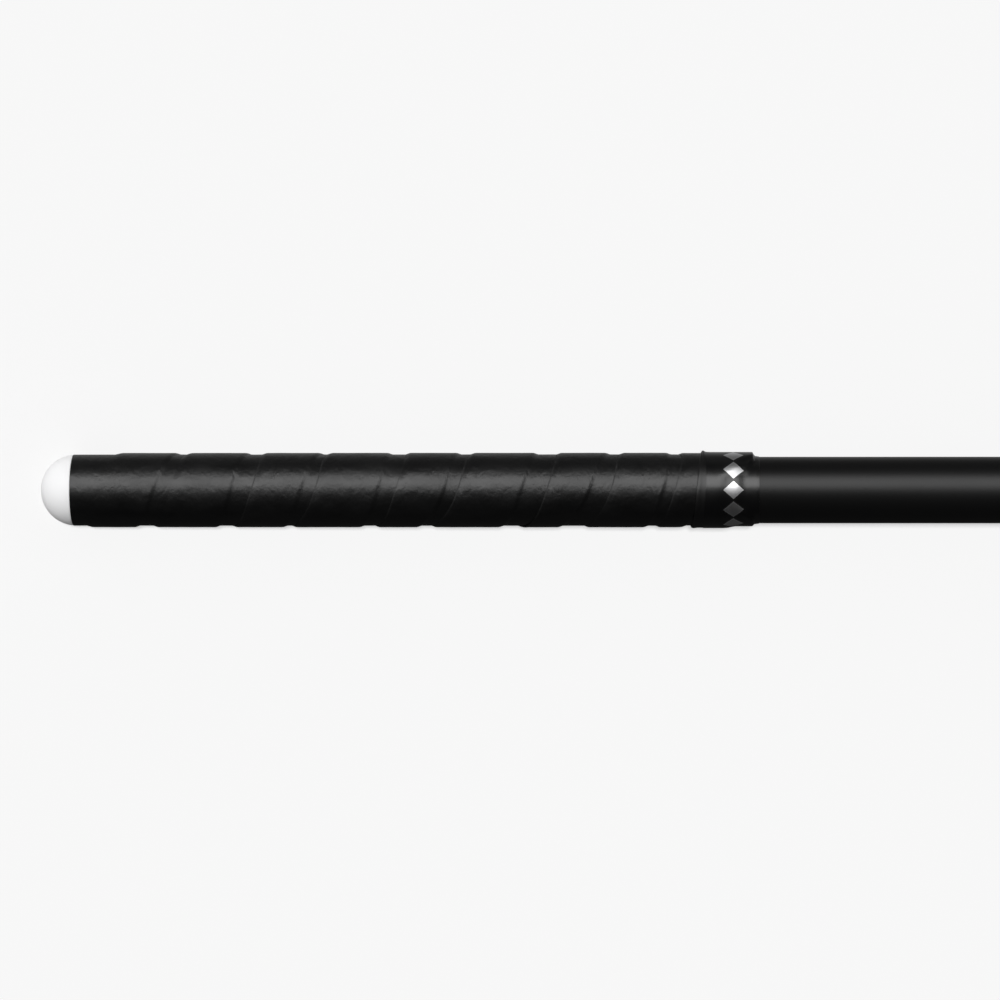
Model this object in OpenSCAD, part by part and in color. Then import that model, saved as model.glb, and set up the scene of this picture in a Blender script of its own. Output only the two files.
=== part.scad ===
// Field hockey stick: a hollow laminate stick with a round taped handle, a bowed shaft and a hooked head.
// It lies on its flat face. X runs from the butt end to the head, Y towards the toe, and Z is up.

/* [Stick] */
// Length along the stick, from the tip of the butt cap to the base of the head
stick_length = 927; // [860:1:980]
// Diameter of the round handle
handle_d = 28; // [25:0.5:32]
// Length of the round handle, from the rim of the butt cap
handle_length = 410; // [340:5:460]
// Distance from the rim of the butt cap to where the face is fully flat
flat_from = 640; // [540:5:740]
// Thickness of the laminate in the handle and shaft
wall = 2.2; // [1.8:0.1:3]

/* [Bow] */
// Distance from the end of the round handle to the start of the bow
bow_offset = 90; // [0:5:150]
// Length of the bow along the stick
bow_length = 313; // [200:1:320]
// Angle that the bow turns through
bow_angle = 7.9; // [3:0.1:9.5]

/* [Head] */
// Width of the stick through the hook
head_w = 44; // [40:0.5:50]
// Thickness of the stick above the hook
head_t = 20.5; // [18:0.5:25]
// Inside radius of the crook
crook_r = 14; // [10:0.5:20]
// Angle that the hook turns through
hook_angle = 150; // [125:1:165]
// Straight length of the toe past the hook
toe_length = 24; // [8:1:36]
// Width of the toe
toe_w = 40; // [34:0.5:46]
// Thickness of the toe
toe_t = 18; // [15:0.5:22]
// Radius of the edges beside the flat face
edge_r = 5; // [4:0.5:7]
// Thickness of the laminate in the head
head_wall = 3; // [2.4:0.1:3.6]

/* [Inside] */
// Space between the damper plug and the twin tubes
tube_space = 2; // [1:1:40]
// Thickness of the walls of the twin tubes
tube_wall = 1.2; // [0.8:0.1:1.6]
// Length of the foam core above the hook
core_above_hook = 17; // [8:1:30]
// Gap between the twin tubes and the foam core
core_gap = 0.3; // [0.1:0.1:2]
// Thickness of the reinforcing ply behind the face
ply_t = 0.8; // [0.4:0.1:1]
// Distance of the ply's edge from the rounded edge of the face
ply_margin = 1; // [0.5:0.5:4]
// Thickness of the resin line between pieces bonded inside the laminate
bond_gap = 0.15; // [0.12:0.01:0.2]

/* [Butt cap] */
// Height of the dome
cap_height = 13.9; // [10:0.1:14.5]
// Thickness of the dome
cap_wall = 3; // [2:0.1:4]
// Length of the shank in the handle
shank_length = 24; // [16:1:28]
// Thickness of the shank's wall
shank_wall = 1.8; // [1.2:0.1:2.4]
// Number of webs across the shank
shank_webs = 3; // [2:1:4]
// Clearance of the shank in the handle
shank_clearance = 0.1; // [0.05:0.05:0.2]

/* [Damper plug] */
// Space between the cap's shank and the damper plug
damper_space = 8; // [1:1:20]
// Length of the damper plug
damper_length = 36; // [16:1:36]
// Diameter of the hole through the damper plug
damper_bore_d = 9; // [6:0.5:12]
// Depth of the grooves round the damper plug
damper_groove = 1.2; // [0.6:0.1:1.8]
// Number of grooves round the damper plug
damper_grooves = 3; // [1:1:4]

/* [Grip] */
// Length of the handle that the grip tape covers
grip_length = 287; // [220:1:320]
// Width of the grip tape
tape_w = 54; // [46:1:56]
// Thickness of the grip tape
tape_t = 0.74; // [0.5:0.02:1.2]
// Advance of the grip tape in one turn
tape_lead = 29.8; // [28:0.2:40]
// Width over which a turn steps down off the edge of the turn under it
tape_ramp = 2.6; // [1.6:0.1:4]
// Width of the tape at its cut end, under the finishing tape
tape_cut_w = 24; // [18:1:30]
// Thickness of the adhesive layer under the grip tape
adhesive_t = 0.18; // [0.1:0.02:0.3]
// Gap between layers that are wound on one another
layer_gap = 0.02; // [0.01:0.01:0.05]

/* [Finishing tape] */
// Width of the finishing tape
band_w = 23.7; // [16:0.1:30]
// Thickness of one turn of the finishing tape
band_t = 0.13; // [0.1:0.01:0.25]
// How far the finishing tape reaches past the grip tape onto the bare handle
band_overhang = 3; // [3:0.1:5]
// Width over which the finishing tape comes down onto the bare handle
band_fall = 1.8; // [1:0.1:2.4]
// Distance between the edges of the first turn and the turn over it
band_step = 3.25; // [3:0.05:6]
// Slant of the first turn's edge
band_slant = 7.3; // [0:0.1:9]

/* [Hidden] */

// Number of sides over the back of a section, round each of its edges, and round one turn of the tape
back_sides = 16;
edge_sides = 7;
tape_sides = 30;
// Spacing of the sections along the shaft, and number of sections round the hook
section_step = 25;
hook_sections = 20;
// Angles of the sections that round off the toe
toe_turns = [20, 38, 54, 68, 80];
// Sides of round pieces where they are drawn as a mesh
round_sides = 96;
// How far the shaft's outer skin stays inside the handle tube's round wall, how far its hollow stands outside
// the bore, and how far both run into the tube
skin_inset = 0.03;
hollow_margin = 0.09;
skin_overlap = 2;
// Least half width of the flat under a section, least width of the flat beside the web of a twin tube, and least
// height of an edge
least_flat = 0.02;
least_web_flat = 0.12;
least_edge = 0.5;
// Most of a section's half width that one of its edges takes on the rounded toe
toe_edge_share = 0.9;
// Least space between two sections along the stick
least_step = 1;
// How far a cut reaches past what it cuts
cut = 1;
// Least space between two points across the grip tape
tape_point_gap = 0.3;

handle_r = handle_d / 2;
bore_r = handle_r - wall;
hook_r = crook_r + head_w / 2;
// Distances along the centre line, from the rim of the butt cap
base_at = stick_length - cap_height;
hook_start = base_at - head_w / 2 - hook_r;
hook_end = hook_start + hook_r * hook_angle * PI / 180;
toe_end = hook_end + toe_length;
core_start = hook_start - core_above_hook;
damper_start = shank_length + damper_space;
tube_start = damper_start + damper_length + tube_space;
tube_end = core_start - core_gap;
bow_start = handle_length + bow_offset;
bow_end = bow_start + bow_length;
bow_r = bow_length / (bow_angle * PI / 180);

// Radii of the layers on the handle, true at the middles of their sides
adhesive_r = handle_r + layer_gap + adhesive_t;
tape_r = adhesive_r + layer_gap;
layer_rise = tape_t + layer_gap;
single_r = tape_r + tape_t;
double_r = single_r + layer_rise;
side_to_corner = 1 / cos(180 / tape_sides);
band_r = double_r * side_to_corner + layer_gap;
band_start = grip_length + band_overhang - band_w;

// ---- Lines and sections of the stick ----

function smooth(x) = let (t = max(0, min(1, x))) t * t * (3 - 2 * t);
function blend(from, to, x) = from + (to - from) * smooth(x);
function reverse(list) = [for (i = [len(list) - 1:-1:0]) list[i]];

function half_width(s) = s < hook_start
    ? blend(handle_r, head_w / 2, (s - handle_length) / (hook_start - handle_length))
    : blend(head_w, toe_w, (s - hook_start) / (toe_end - hook_start)) / 2;
function thickness(s) = s < hook_start
    ? blend(handle_d, head_t, (s - handle_length) / (core_start - handle_length))
    : blend(head_t, toe_t, (s - hook_start) / (toe_end - hook_start));
function edge(s) = blend(handle_r, edge_r, (s - handle_length) / (flat_from - handle_length));
function wall_at(s) = blend(wall, head_wall, (s - flat_from) / (core_start - flat_from));

// The plan of the stick at s along its centre line and y to the crook side of it
function plan(s, y) =
    s <= hook_start ? [s, y]
    : s <= hook_end ? let (turn = (s - hook_start) / hook_r * 180 / PI)
        [hook_start + (hook_r - y) * sin(turn), hook_r - (hook_r - y) * cos(turn)]
    : plan(hook_end, y) + (s - hook_end) * [cos(hook_angle), sin(hook_angle)];

// A point on the bowed stick, from its plan [a, b] and its height h over the face
function bowed(p, h) =
    let (turn = bow_angle * max(0, min(1, (p[0] - bow_start) / bow_length)),
        reach = bow_r + h,
        past = max(0, p[0] - bow_end))
    p[0] <= bow_start ? [p[0], p[1], h - handle_r]
    : [bow_start + reach * sin(turn) + past * cos(turn), p[1],
        -handle_r - bow_r + reach * cos(turn) - past * sin(turn)];

// A closed section of half width w: half an ellipse from mid up to hi, rounded edges and a flat down at lo
function section(w, lo, mid, hi, corner) = concat(
    [for (i = [0:back_sides - 1]) let (t = 180 * i / back_sides) [w * cos(t), mid + (hi - mid) * sin(t)]],
    [for (i = [0:edge_sides]) let (t = 90 * i / edge_sides)
        [-w + corner * (1 - cos(t)), mid - (mid - lo) * sin(t)]],
    [for (i = [edge_sides:-1:1]) let (t = 90 * i / edge_sides)
        [w - corner * (1 - cos(t)), mid - (mid - lo) * sin(t)]]);

// Half of such a section on the crook side of a web at y = web, for one of the twin tubes
function half_section(w, lo, mid, hi, corner, web) =
    let (flat = max(w - corner, web + least_web_flat), top = 90 - asin(web / w))
    concat(
        [for (i = [0:back_sides / 2]) let (t = top * i / (back_sides / 2))
            [w * cos(t), mid + (hi - mid) * sin(t)]],
        [[web, lo]],
        [for (i = [edge_sides:-1:1]) let (t = 90 * i / edge_sides)
            [w - (w - flat) * (1 - cos(t)), mid - (mid - lo) * sin(t)]]);

function ring(s, points) = [for (p = points) bowed(plan(s, p[0]), p[1])];

// The ring at s, inset from the sides and back by side and from the face by face
function stick_ring(s, side, face) =
    let (w = half_width(s) - side, mid = max(edge(s), face + least_edge),
        corner = min(mid - side, w - least_flat))
    ring(s, section(w, face, mid, thickness(s) - side, corner));

// A ring on the rounded toe, where turn goes from 0 at its start to 90 at its tip
function toe_ring(turn, side, face) =
    let (r = toe_w / 2 - side, mid = max(edge_r, face + least_edge), drop = mid - face,
        reach = r * sin(turn), past = max(0, reach - r + drop) / drop,
        lo = mid - drop * sqrt(1 - past * past), hi = mid + (toe_t - side - mid) * cos(turn),
        w = r * cos(turn))
    ring(toe_end + reach, section(w, lo, mid, hi, min(mid - side, w * toe_edge_share)));

shaft_stops = let (n = ceil((hook_start - handle_length) / section_step))
    [for (i = [0:n]) handle_length + (hook_start - handle_length) * i / n];
hook_stops = [for (i = [1:hook_sections]) hook_start + (hook_end - hook_start) * i / hook_sections];

// The stops from one place to another, with both ends
function stops(from, to) = concat([from],
    [for (s = concat(shaft_stops, hook_stops)) if (s > from + least_step && s < to - least_step) s], [to]);

// ---- Helpers ----

// The triangles that fill a ring of n points, from side to side
function fill(n) =
    let (v = [for (k = [0:n - 1]) k % 2 == 0 ? k / 2 : n - (k + 1) / 2])
    [for (k = [0:n - 3]) k % 2 == 0 ? [v[k], v[k + 2], v[k + 1]] : [v[k], v[k + 1], v[k + 2]]];

// A solid through a row of rings that all have as many points, with flat ends or joined end to start
module skin(rings, joined = false) {
    n = len(rings[0]);
    last = len(rings) - 1;
    sides = [for (k = [0:joined ? last : last - 1]) for (i = [0:n - 1])
        let (a = k * n, b = (k + 1) % (last + 1) * n, j = (i + 1) % n)
        each [[a + i, b + i, b + j], [a + i, b + j, a + j]]];
    ends = joined ? [] : [for (t = fill(n)) each [t, [for (i = [2:-1:0]) last * n + t[i]]]];
    polyhedron([for (r = rings) each r], concat(sides, ends), convexity = 8);
}

// Lays the stick on the floor, with its bounding box centred over the origin
grip_foot = [0, -double_r * side_to_corner];
head_foot = let (p = bowed([base_at - edge_r, 0], 0)) [p[0], p[2]];
lie_angle = atan2(grip_foot[1] - head_foot[1], head_foot[0] - grip_foot[0]);
butt_x = -cap_height * cos(lie_angle);
base_x = let (p = bowed([base_at, 0], edge_r)) p[0] * cos(lie_angle) - p[2] * sin(lie_angle);
toe_y = plan(toe_end, 0)[1] + toe_w / 2;
module laid() {
    translate([-(butt_x + base_x) / 2, (head_w / 2 - toe_y) / 2, -grip_foot[1] * cos(lie_angle)])
        rotate([0, -lie_angle, 0])
            children();
}

// Turns what stands on Z so that it runs along the handle, with Z as the distance from the cap's rim
module along_handle() {
    laid() rotate([0, 90, 0]) children();
}

module tube(from, to, inner_r, outer_r) {
    translate([0, 0, from])
        difference() {
            cylinder(h = to - from, r = outer_r, $fn = round_sides);
            translate([0, 0, -cut]) cylinder(h = to - from + 2 * cut, r = inner_r, $fn = round_sides);
        }
}

// ---- Sub-parts ----

module outer_shell() {
    function skin_stops() = concat([handle_length - skin_overlap], stops(handle_length, toe_end));
    function wall_inset(s) = wall_at(s) - hollow_margin;
    outside = concat([for (s = skin_stops()) stick_ring(s, skin_inset, skin_inset)],
        [for (t = toe_turns) toe_ring(t, skin_inset, skin_inset)]);
    inside = concat([for (s = skin_stops()) stick_ring(s, wall_inset(s), wall_inset(s))],
        [for (t = toe_turns) toe_ring(t, wall_inset(toe_end), wall_inset(toe_end))]);
    color("#1b1b1c") {
        union() {
            along_handle() tube(0, handle_length, bore_r, handle_r);
            laid() skin(concat(reverse(inside), outside));
        }
    }
}

module inner_tube(side) {
    function tube_ring(s, inset) =
        let (depth = wall_at(s) + bond_gap + inset, w = half_width(s) - depth, mid = edge(s))
        [for (p = half_section(w, depth, mid, thickness(s) - depth, mid - depth, bond_gap / 2 + inset))
            bowed(plan(s, p[0]), p[1])];
    tube_stops = stops(tube_start, tube_end);
    laid()
        mirror([0, side < 0 ? 1 : 0, 0])
            skin(concat(
                reverse([for (s = tube_stops) tube_ring(s, tube_wall)]),
                [for (s = tube_stops) tube_ring(s, 0)]), joined = true);
}

module inner_tube_heel() { color("#3a3b3e") inner_tube(-1); }
module inner_tube_toe() { color("#3a3b3e") inner_tube(1); }

module head_core() {
    side = head_wall + bond_gap;
    face = side + ply_t + bond_gap;
    color("#d9c9a3")
        laid() skin(concat(
            [for (s = stops(core_start, toe_end)) stick_ring(s, side, face)],
            [for (t = toe_turns) toe_ring(t, side, face)]));
}

module face_ply() {
    lo = head_wall + bond_gap;
    function strip(w) = [[w, lo], [w, lo + ply_t], [-w, lo + ply_t], [-w, lo]];
    toe_half = toe_w / 2 - edge_r - ply_margin;
    color("#b99a2b")
        laid() skin(concat(
            [for (s = stops(core_start, toe_end)) ring(s, strip(half_width(s) - edge_r - ply_margin))],
            [for (t = toe_turns) ring(toe_end + toe_half * sin(t), strip(toe_half * cos(t)))]));
}

module handle_damper() {
    r = bore_r - shank_clearance;
    // Grooves as wide as the ribs between and beside them
    groove_w = damper_length / (2 * damper_grooves + 1);
    color("#6f6f72")
        along_handle()
            translate([0, 0, damper_start])
                difference() {
                    cylinder(h = damper_length, r = r, $fn = round_sides);
                    translate([0, 0, -cut])
                        cylinder(h = damper_length + 2 * cut, d = damper_bore_d, $fn = round_sides);
                    for (k = [0:damper_grooves - 1])
                        translate([0, 0, (2 * k + 1) * groove_w]) rotate_extrude($fn = round_sides)
                            translate([r - damper_groove, 0]) square([damper_groove + cut, groove_w]);
                }
}

module butt_cap() {
    dome_r = (single_r * single_r + cap_height * cap_height) / (2 * cap_height);
    centre_at = dome_r - cap_height;
    shank_r = bore_r - shank_clearance;
    hollow_r = shank_r - shank_wall;
    module dome(r) {
        intersection() {
            translate([0, centre_at]) circle(r, $fn = round_sides);
            translate([0, centre_at - r]) square([single_r, r - centre_at]);
        }
    }
    color("#f2f2f2")
        along_handle()
            difference() {
                rotate_extrude($fn = round_sides) {
                    dome(dome_r);
                    square([shank_r, shank_length]);
                }
                difference() {
                    rotate_extrude($fn = round_sides) intersection() {
                        translate([0, -cap_height]) square([hollow_r, cap_height + shank_length + cut]);
                        union() {
                            dome(dome_r - cap_wall);
                            square([hollow_r, shank_length + cut]);
                        }
                    }
                    for (k = [0:shank_webs - 1])
                        rotate([0, 0, 180 * k / shank_webs])
                            translate([-handle_r, -shank_wall / 2, -cap_height])
                                cube([handle_d, shank_wall, cap_height + shank_length + 2 * cut]);
                }
            }
}

module grip_adhesive() {
    color("#c9c4b4")
        along_handle() tube(layer_gap, grip_length, handle_r + layer_gap, adhesive_r);
}

// The tape is one strip wound from the floor side of the butt end. Its left edge stays at the rim for the
// first turn and its right edge at grip_length for the last, and each turn lies over the edge of the one before.
module grip_tape() {
    turns = (grip_length - tape_cut_w) / tape_lead + 1;
    last_step = round(turns * tape_sides);
    function left(i) = max(layer_gap, tape_lead * (i / tape_sides - 1));
    function right(i) = min(grip_length, tape_lead * (i / tape_sides - 1) + tape_w);
    // Where the turn underneath ends, or nowhere under the first turn
    function step_at(i) = i < tape_sides ? left(i) - tape_ramp : right(i - tape_sides) + layer_gap;
    // Radius of the tape's inner face at u: one layer up until the step, then down a ramp
    function inner_r(i, u) = tape_r + layer_rise * (1 - max(0, min(1, (u - step_at(i)) / tape_ramp)));
    function strip_section(i) =
        let (a = left(i), d = right(i),
            b = min(max(step_at(i), a + tape_point_gap), d - 2 * tape_point_gap),
            c = min(max(step_at(i) + tape_ramp, b + tape_point_gap), d - tape_point_gap))
        concat([for (u = [a, b, c, d]) [u, inner_r(i, u) + tape_t]],
            [for (u = [d, c, b, a]) [u, inner_r(i, u)]]);
    function strip_ring(i) = let (turn = 360 * i / tape_sides)
        [for (p = strip_section(i))
            [p[0], -p[1] * side_to_corner * sin(turn), -p[1] * side_to_corner * cos(turn)]];
    color("#232324")
        laid() skin([for (i = [0:last_step]) strip_ring(i)]);
}

module finishing_tape() {
    outer_r = band_r + 2 * band_t;
    skirt_r = handle_r + layer_gap;
    end = grip_length + band_overhang;
    // The slant of the first turn's edge stays within this distance of the outer turn
    first_at = band_start - 2 * band_step;
    inside = [[band_r, first_at], [band_r, grip_length + layer_gap],
        [skirt_r, grip_length + layer_gap + band_fall], [skirt_r, end]];
    outside = [[skirt_r + 2 * band_t, end], [skirt_r + 2 * band_t, grip_length + 2 * band_t + band_fall],
        [outer_r, grip_length + 2 * band_t], [outer_r, band_start], [band_r + band_t, band_start],
        [band_r + band_t, first_at]];
    color("#3b3b3f")
        along_handle()
            difference() {
                rotate_extrude($fn = round_sides) polygon(concat(inside, outside));
                translate([0, 0, band_start - band_step]) rotate([band_slant, 0, 0])
                    translate([-handle_d, -handle_d, -handle_d]) cube([2 * handle_d, 2 * handle_d, handle_d]);
            }
}

outer_shell();
inner_tube_heel();
inner_tube_toe();
head_core();
face_ply();
handle_damper();
butt_cap();
grip_adhesive();
grip_tape();
finishing_tape();
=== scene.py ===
"""The looks of a field hockey stick: a laminate stick with a wound grip, a finishing tape and a butt cap.

Lengths are in metres. The stick lies on its flat face. X runs from the butt end to the head, Y to the toe.
"""
from math import asin, atan2, cos, hypot, pi, radians, sin, sqrt, tau

import bmesh
import bpy
from bpy.props import FloatProperty, FloatVectorProperty, IntProperty, PointerProperty
from mathutils import Matrix, Vector, noise


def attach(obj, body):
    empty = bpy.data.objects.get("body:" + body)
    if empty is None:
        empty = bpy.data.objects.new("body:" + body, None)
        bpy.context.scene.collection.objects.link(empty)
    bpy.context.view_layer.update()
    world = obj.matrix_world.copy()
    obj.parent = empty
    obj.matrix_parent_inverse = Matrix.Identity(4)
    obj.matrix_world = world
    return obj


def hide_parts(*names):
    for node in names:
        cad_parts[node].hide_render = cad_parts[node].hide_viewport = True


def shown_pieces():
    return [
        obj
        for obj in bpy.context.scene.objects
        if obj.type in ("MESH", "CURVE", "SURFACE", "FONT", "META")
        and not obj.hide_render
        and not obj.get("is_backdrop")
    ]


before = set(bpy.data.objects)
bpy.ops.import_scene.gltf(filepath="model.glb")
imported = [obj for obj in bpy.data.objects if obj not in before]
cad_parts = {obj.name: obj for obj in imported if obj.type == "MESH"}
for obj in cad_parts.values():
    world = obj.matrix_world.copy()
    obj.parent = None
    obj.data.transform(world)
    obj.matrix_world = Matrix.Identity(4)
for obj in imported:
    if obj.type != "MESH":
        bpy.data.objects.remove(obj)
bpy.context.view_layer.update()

bl_info = {
    "name": "Field hockey stick",
    "version": (1, 0, 0),
    "blender": (4, 5, 0),
    "location": "View3D > Sidebar > Hockey stick",
    "description": "Builds a field hockey stick on the frame of its CAD model",
    "category": "Object",
}

MM = 0.001
MICRON = 0.001 * MM
BODY = "root"
# As in the CAD: air between layers, the adhesive with air on both its sides, and the sides of a wound turn
LAYER_GAP = 0.02 * MM
UNDER_TAPE = 0.22 * MM
TAPE_SIDES = 30


def size(name, description, default, low=0, high=2):
    """A length that a user may change, in metres."""
    return FloatProperty(name=name, description=description, default=default, min=low, max=high,
                         unit="LENGTH", subtype="DISTANCE", precision=5)


def angle(name, description, degrees):
    return FloatProperty(name=name, description=description, default=radians(degrees), subtype="ANGLE")


def colour(name, description, default):
    return FloatVectorProperty(name=name, description=description, default=default, size=3,
                               min=0, max=1, subtype="COLOR")


# ---- Settings ----


class StickSettings(bpy.types.PropertyGroup):
    length: size("Length", "From the cap's tip to the base of the head", 0.927)
    handle: size("Handle diameter", "Diameter of the round handle", 0.028)
    handle_length: size("Handle length", "Length of the round handle", 0.41)
    flat_from: size("Flat from", "From the cap's rim to where the face is flat", 0.64)
    wall: size("Shaft wall", "Laminate in the handle and shaft", 0.0022)
    head_wall: size("Head wall", "Laminate in the head", 0.003)
    bow_start: size("Bow start", "From the cap's rim to the start of the bow", 0.5)
    bow_length: size("Bow length", "Length of the bow along the stick", 0.313)
    bow_angle: angle("Bow angle", "Angle that the bow turns through", 7.9)
    head_width: size("Head width", "Width of the stick through the hook", 0.044)
    head_thickness: size("Head thickness", "Thickness of the stick above the hook", 0.0205)
    crook: size("Crook radius", "Inside radius of the crook", 0.014)
    hook_angle: angle("Hook angle", "Angle that the hook turns through", 150)
    toe_length: size("Toe length", "Straight length of the toe past the hook", 0.024)
    toe_width: size("Toe width", "Width of the toe", 0.04)
    toe_thickness: size("Toe thickness", "Thickness of the toe", 0.018)
    edge: size("Edge radius", "Radius of the edges beside the flat face", 0.005)
    core_reach: size("Core reach", "Length of the foam core above the hook", 0.017)
    lacquer: colour("Lacquer", "Colour of the satin lacquer", (0.0027, 0.0027, 0.0028))


class CapSettings(bpy.types.PropertyGroup):
    height: size("Dome height", "Height of the dome", 0.0139)
    radius: size("Rim radius", "Radius of the dome at its rim", 0.01496)
    wall: size("Dome wall", "Thickness of the dome", 0.003)
    shank: size("Shank length", "Length of the shank in the handle", 0.024)
    shank_radius: size("Shank radius", "Radius of the shank", 0.0117)
    shank_wall: size("Shank wall", "Thickness of the shank's wall and webs", 0.0018)
    webs: IntProperty(name="Webs", description="Webs across the shank", default=3, min=2, max=4)
    plastic: colour("Plastic", "Colour of the moulded cap", (0.86, 0.86, 0.865))


class GripSettings(bpy.types.PropertyGroup):
    length: size("Wound length", "Length of handle that the tape covers", 0.287)
    width: size("Tape width", "Width of the tape", 0.054)
    thickness: size("Tape thickness", "Thickness of the tape", 0.00074)
    lead: size("Lead", "Advance of the tape in one turn", 0.0298)
    ramp: size("Ramp", "Width of the step down off the edge under a turn", 0.0026)
    lip: size("Lip", "Width over which the tape's visible edge is skived", 0.0012)
    relief: size("Relief", "Depth of the dents left by winding and the hand", 0.00021)
    turns: FloatProperty(name="Turns", description="Turns from the butt end to the cut end", default=10.4,
                         min=2, max=20)
    steps: IntProperty(name="Steps", description="Sections in one turn", default=96, min=24, max=160)
    seed: IntProperty(name="Seed", description="Seed of the dents", default=4, min=0, max=1000)
    tape: colour("Tape", "Colour of the grip tape", (0.0034, 0.0034, 0.0035))


class BandSettings(bpy.types.PropertyGroup):
    start: size("Start", "Left edge of the outer turn", 0.2663)
    end: size("End", "Right edge on the bare handle", 0.29)
    thickness: size("Thickness", "Thickness of one turn of the tape", 0.00015)
    mark_at: size("Mark place", "Middle of the printed row along the handle", 0.279)
    mark_width: size("Mark width", "Width of the printed row along the handle", 0.0086)
    marks: IntProperty(name="Marks", description="Lozenges round the tape", default=11, min=0, max=40)
    film: colour("Film", "Colour of the finishing tape", (0.003, 0.003, 0.0032))
    ink: colour("Ink", "Colour of the silver ink", (0.86, 0.86, 0.87))


class StudioSettings(bpy.types.PropertyGroup):
    field: size("Field", "Width of what the camera sees at the stick", 0.4224)
    distance: size("Camera distance", "Height of the camera over the stick", 1.9, 0.2, 5)
    looks_at: size("View middle", "From the cap's rim to the middle of the view", 0.1807)
    offset: size("Offset", "From the view's middle up to the stick's axis", 0.0042)
    paper: colour("Paper", "Colour of the floor and backdrop", (0.92, 0.92, 0.92))


class HockeySettings(bpy.types.PropertyGroup):
    stick: PointerProperty(type=StickSettings, name="Stick", description="Sizes and colour of the stick")
    cap: PointerProperty(type=CapSettings, name="Butt cap", description="Sizes and colour of the butt cap")
    grip: PointerProperty(type=GripSettings, name="Grip", description="Sizes and colour of the wound grip")
    band: PointerProperty(type=BandSettings, name="Finishing tape", description="Sizes, place and colours")
    studio: PointerProperty(type=StudioSettings, name="Studio", description="Camera and floor")


def settings():
    return bpy.context.scene.hockey_stick


# ---- Node trees written as formulas ----


class Number:
    """A number that a node gives. Signs between such numbers make nodes."""

    def __init__(self, graph, socket):
        self.graph, self.socket = graph, socket

    def __neg__(self):
        return self * -1


for sign, operation in (("add", "ADD"), ("sub", "SUBTRACT"), ("mul", "MULTIPLY"), ("truediv", "DIVIDE")):
    setattr(Number, f"__{sign}__", lambda a, b, kind=operation: a.graph.math(kind, a, b))
    setattr(Number, f"__r{sign}__", lambda b, a, kind=operation: b.graph.math(kind, a, b))


class Graph:
    """Writes a node tree, of geometry or of a material."""

    def __init__(self, tree):
        self.tree, self.made = tree, 0

    def put(self, value, socket):
        """Links a number, a node's first output or a socket to an input, or sets the input."""
        if isinstance(value, Number):
            value = value.socket
        if isinstance(value, bpy.types.Node):
            value = value.outputs[0]
        if isinstance(value, bpy.types.NodeSocket):
            self.tree.links.new(value, socket)
        else:
            socket.default_value = (*value, 1) if socket.type == "RGBA" else value

    def node(self, kind, inputs=None, **choices):
        node = self.tree.nodes.new(kind)
        # The nodes are laid out in rows of 14
        row, column = divmod(self.made, 14)
        node.location = (190 * column, -240 * row)
        self.made += 1
        for name, value in choices.items():
            setattr(node, name, value)
        for key, value in (inputs or {}).items():
            self.put(value, node.inputs[key])
        return node

    def number(self, kind, inputs=None, out=0, **choices):
        return Number(self, self.node(kind, inputs, **choices).outputs[out])

    def math(self, operation, *values):
        return self.number("ShaderNodeMath", dict(enumerate(values)), operation=operation)

    def low(self, a, b):
        return self.math("MINIMUM", a, b)

    def high(self, a, b):
        return self.math("MAXIMUM", a, b)

    def ramp(self, x, start, end, lo=0, hi=1, smooth=False):
        """lo before start, hi after end, and a straight or smooth way between them."""
        values = {"Value": x, "From Min": start, "From Max": end, "To Min": lo, "To Max": hi}
        kind = "SMOOTHSTEP" if smooth else "LINEAR"
        return self.number("ShaderNodeMapRange", values, interpolation_type=kind)

    def vector(self, x, y, z):
        return self.node("ShaderNodeCombineXYZ", {0: x, 1: y, 2: z})

    def split(self, vector):
        """The three numbers of a vector."""
        return [Number(self, part) for part in self.node("ShaderNodeSeparateXYZ", {0: vector}).outputs]

    def noise(self, vector, scale, detail, rough=0.5, twist=0, seed=0):
        values = {"Vector": vector, "W": seed, "Scale": scale, "Detail": detail, "Roughness": rough,
                  "Distortion": twist}
        return self.number("ShaderNodeTexNoise", values, noise_dimensions="4D")

    def curve(self, x, points):
        """A smooth curve through points, which are (x, value)."""
        xs, values = zip(*points)
        x0, x1, lo, hi = xs[0], xs[-1], min(values), max(values)
        node = self.node("ShaderNodeFloatCurve", {"Value": share(x, x0, x1)})
        line = node.mapping.curves[0].points
        for k, (at, value) in enumerate(points):
            place = (share(at, x0, x1), share(value, lo, hi))
            if k < 2:
                line[k].location = place
            else:
                line.new(*place)
        node.mapping.update()
        return Number(self, node.outputs[0]) * (hi - lo) + lo

    def mixed(self, share_of, a, b):
        """A share of shader b over shader a."""
        return self.node("ShaderNodeMixShader", {0: share_of, 1: a, 2: b})


# ---- The lines of the stick, as in its CAD source ----


def share(x, start, end):
    """How far x is from start to end, as a share of the way."""
    return (x - start) / (end - start)


def smooth(x):
    t = max(0, min(1, x))
    return t * t * (3 - 2 * t)


def blend(start, end, x):
    return start + (end - start) * smooth(x)


def spaced(start, end, count):
    return [start + (end - start) * i / count for i in range(count + 1)]


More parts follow.
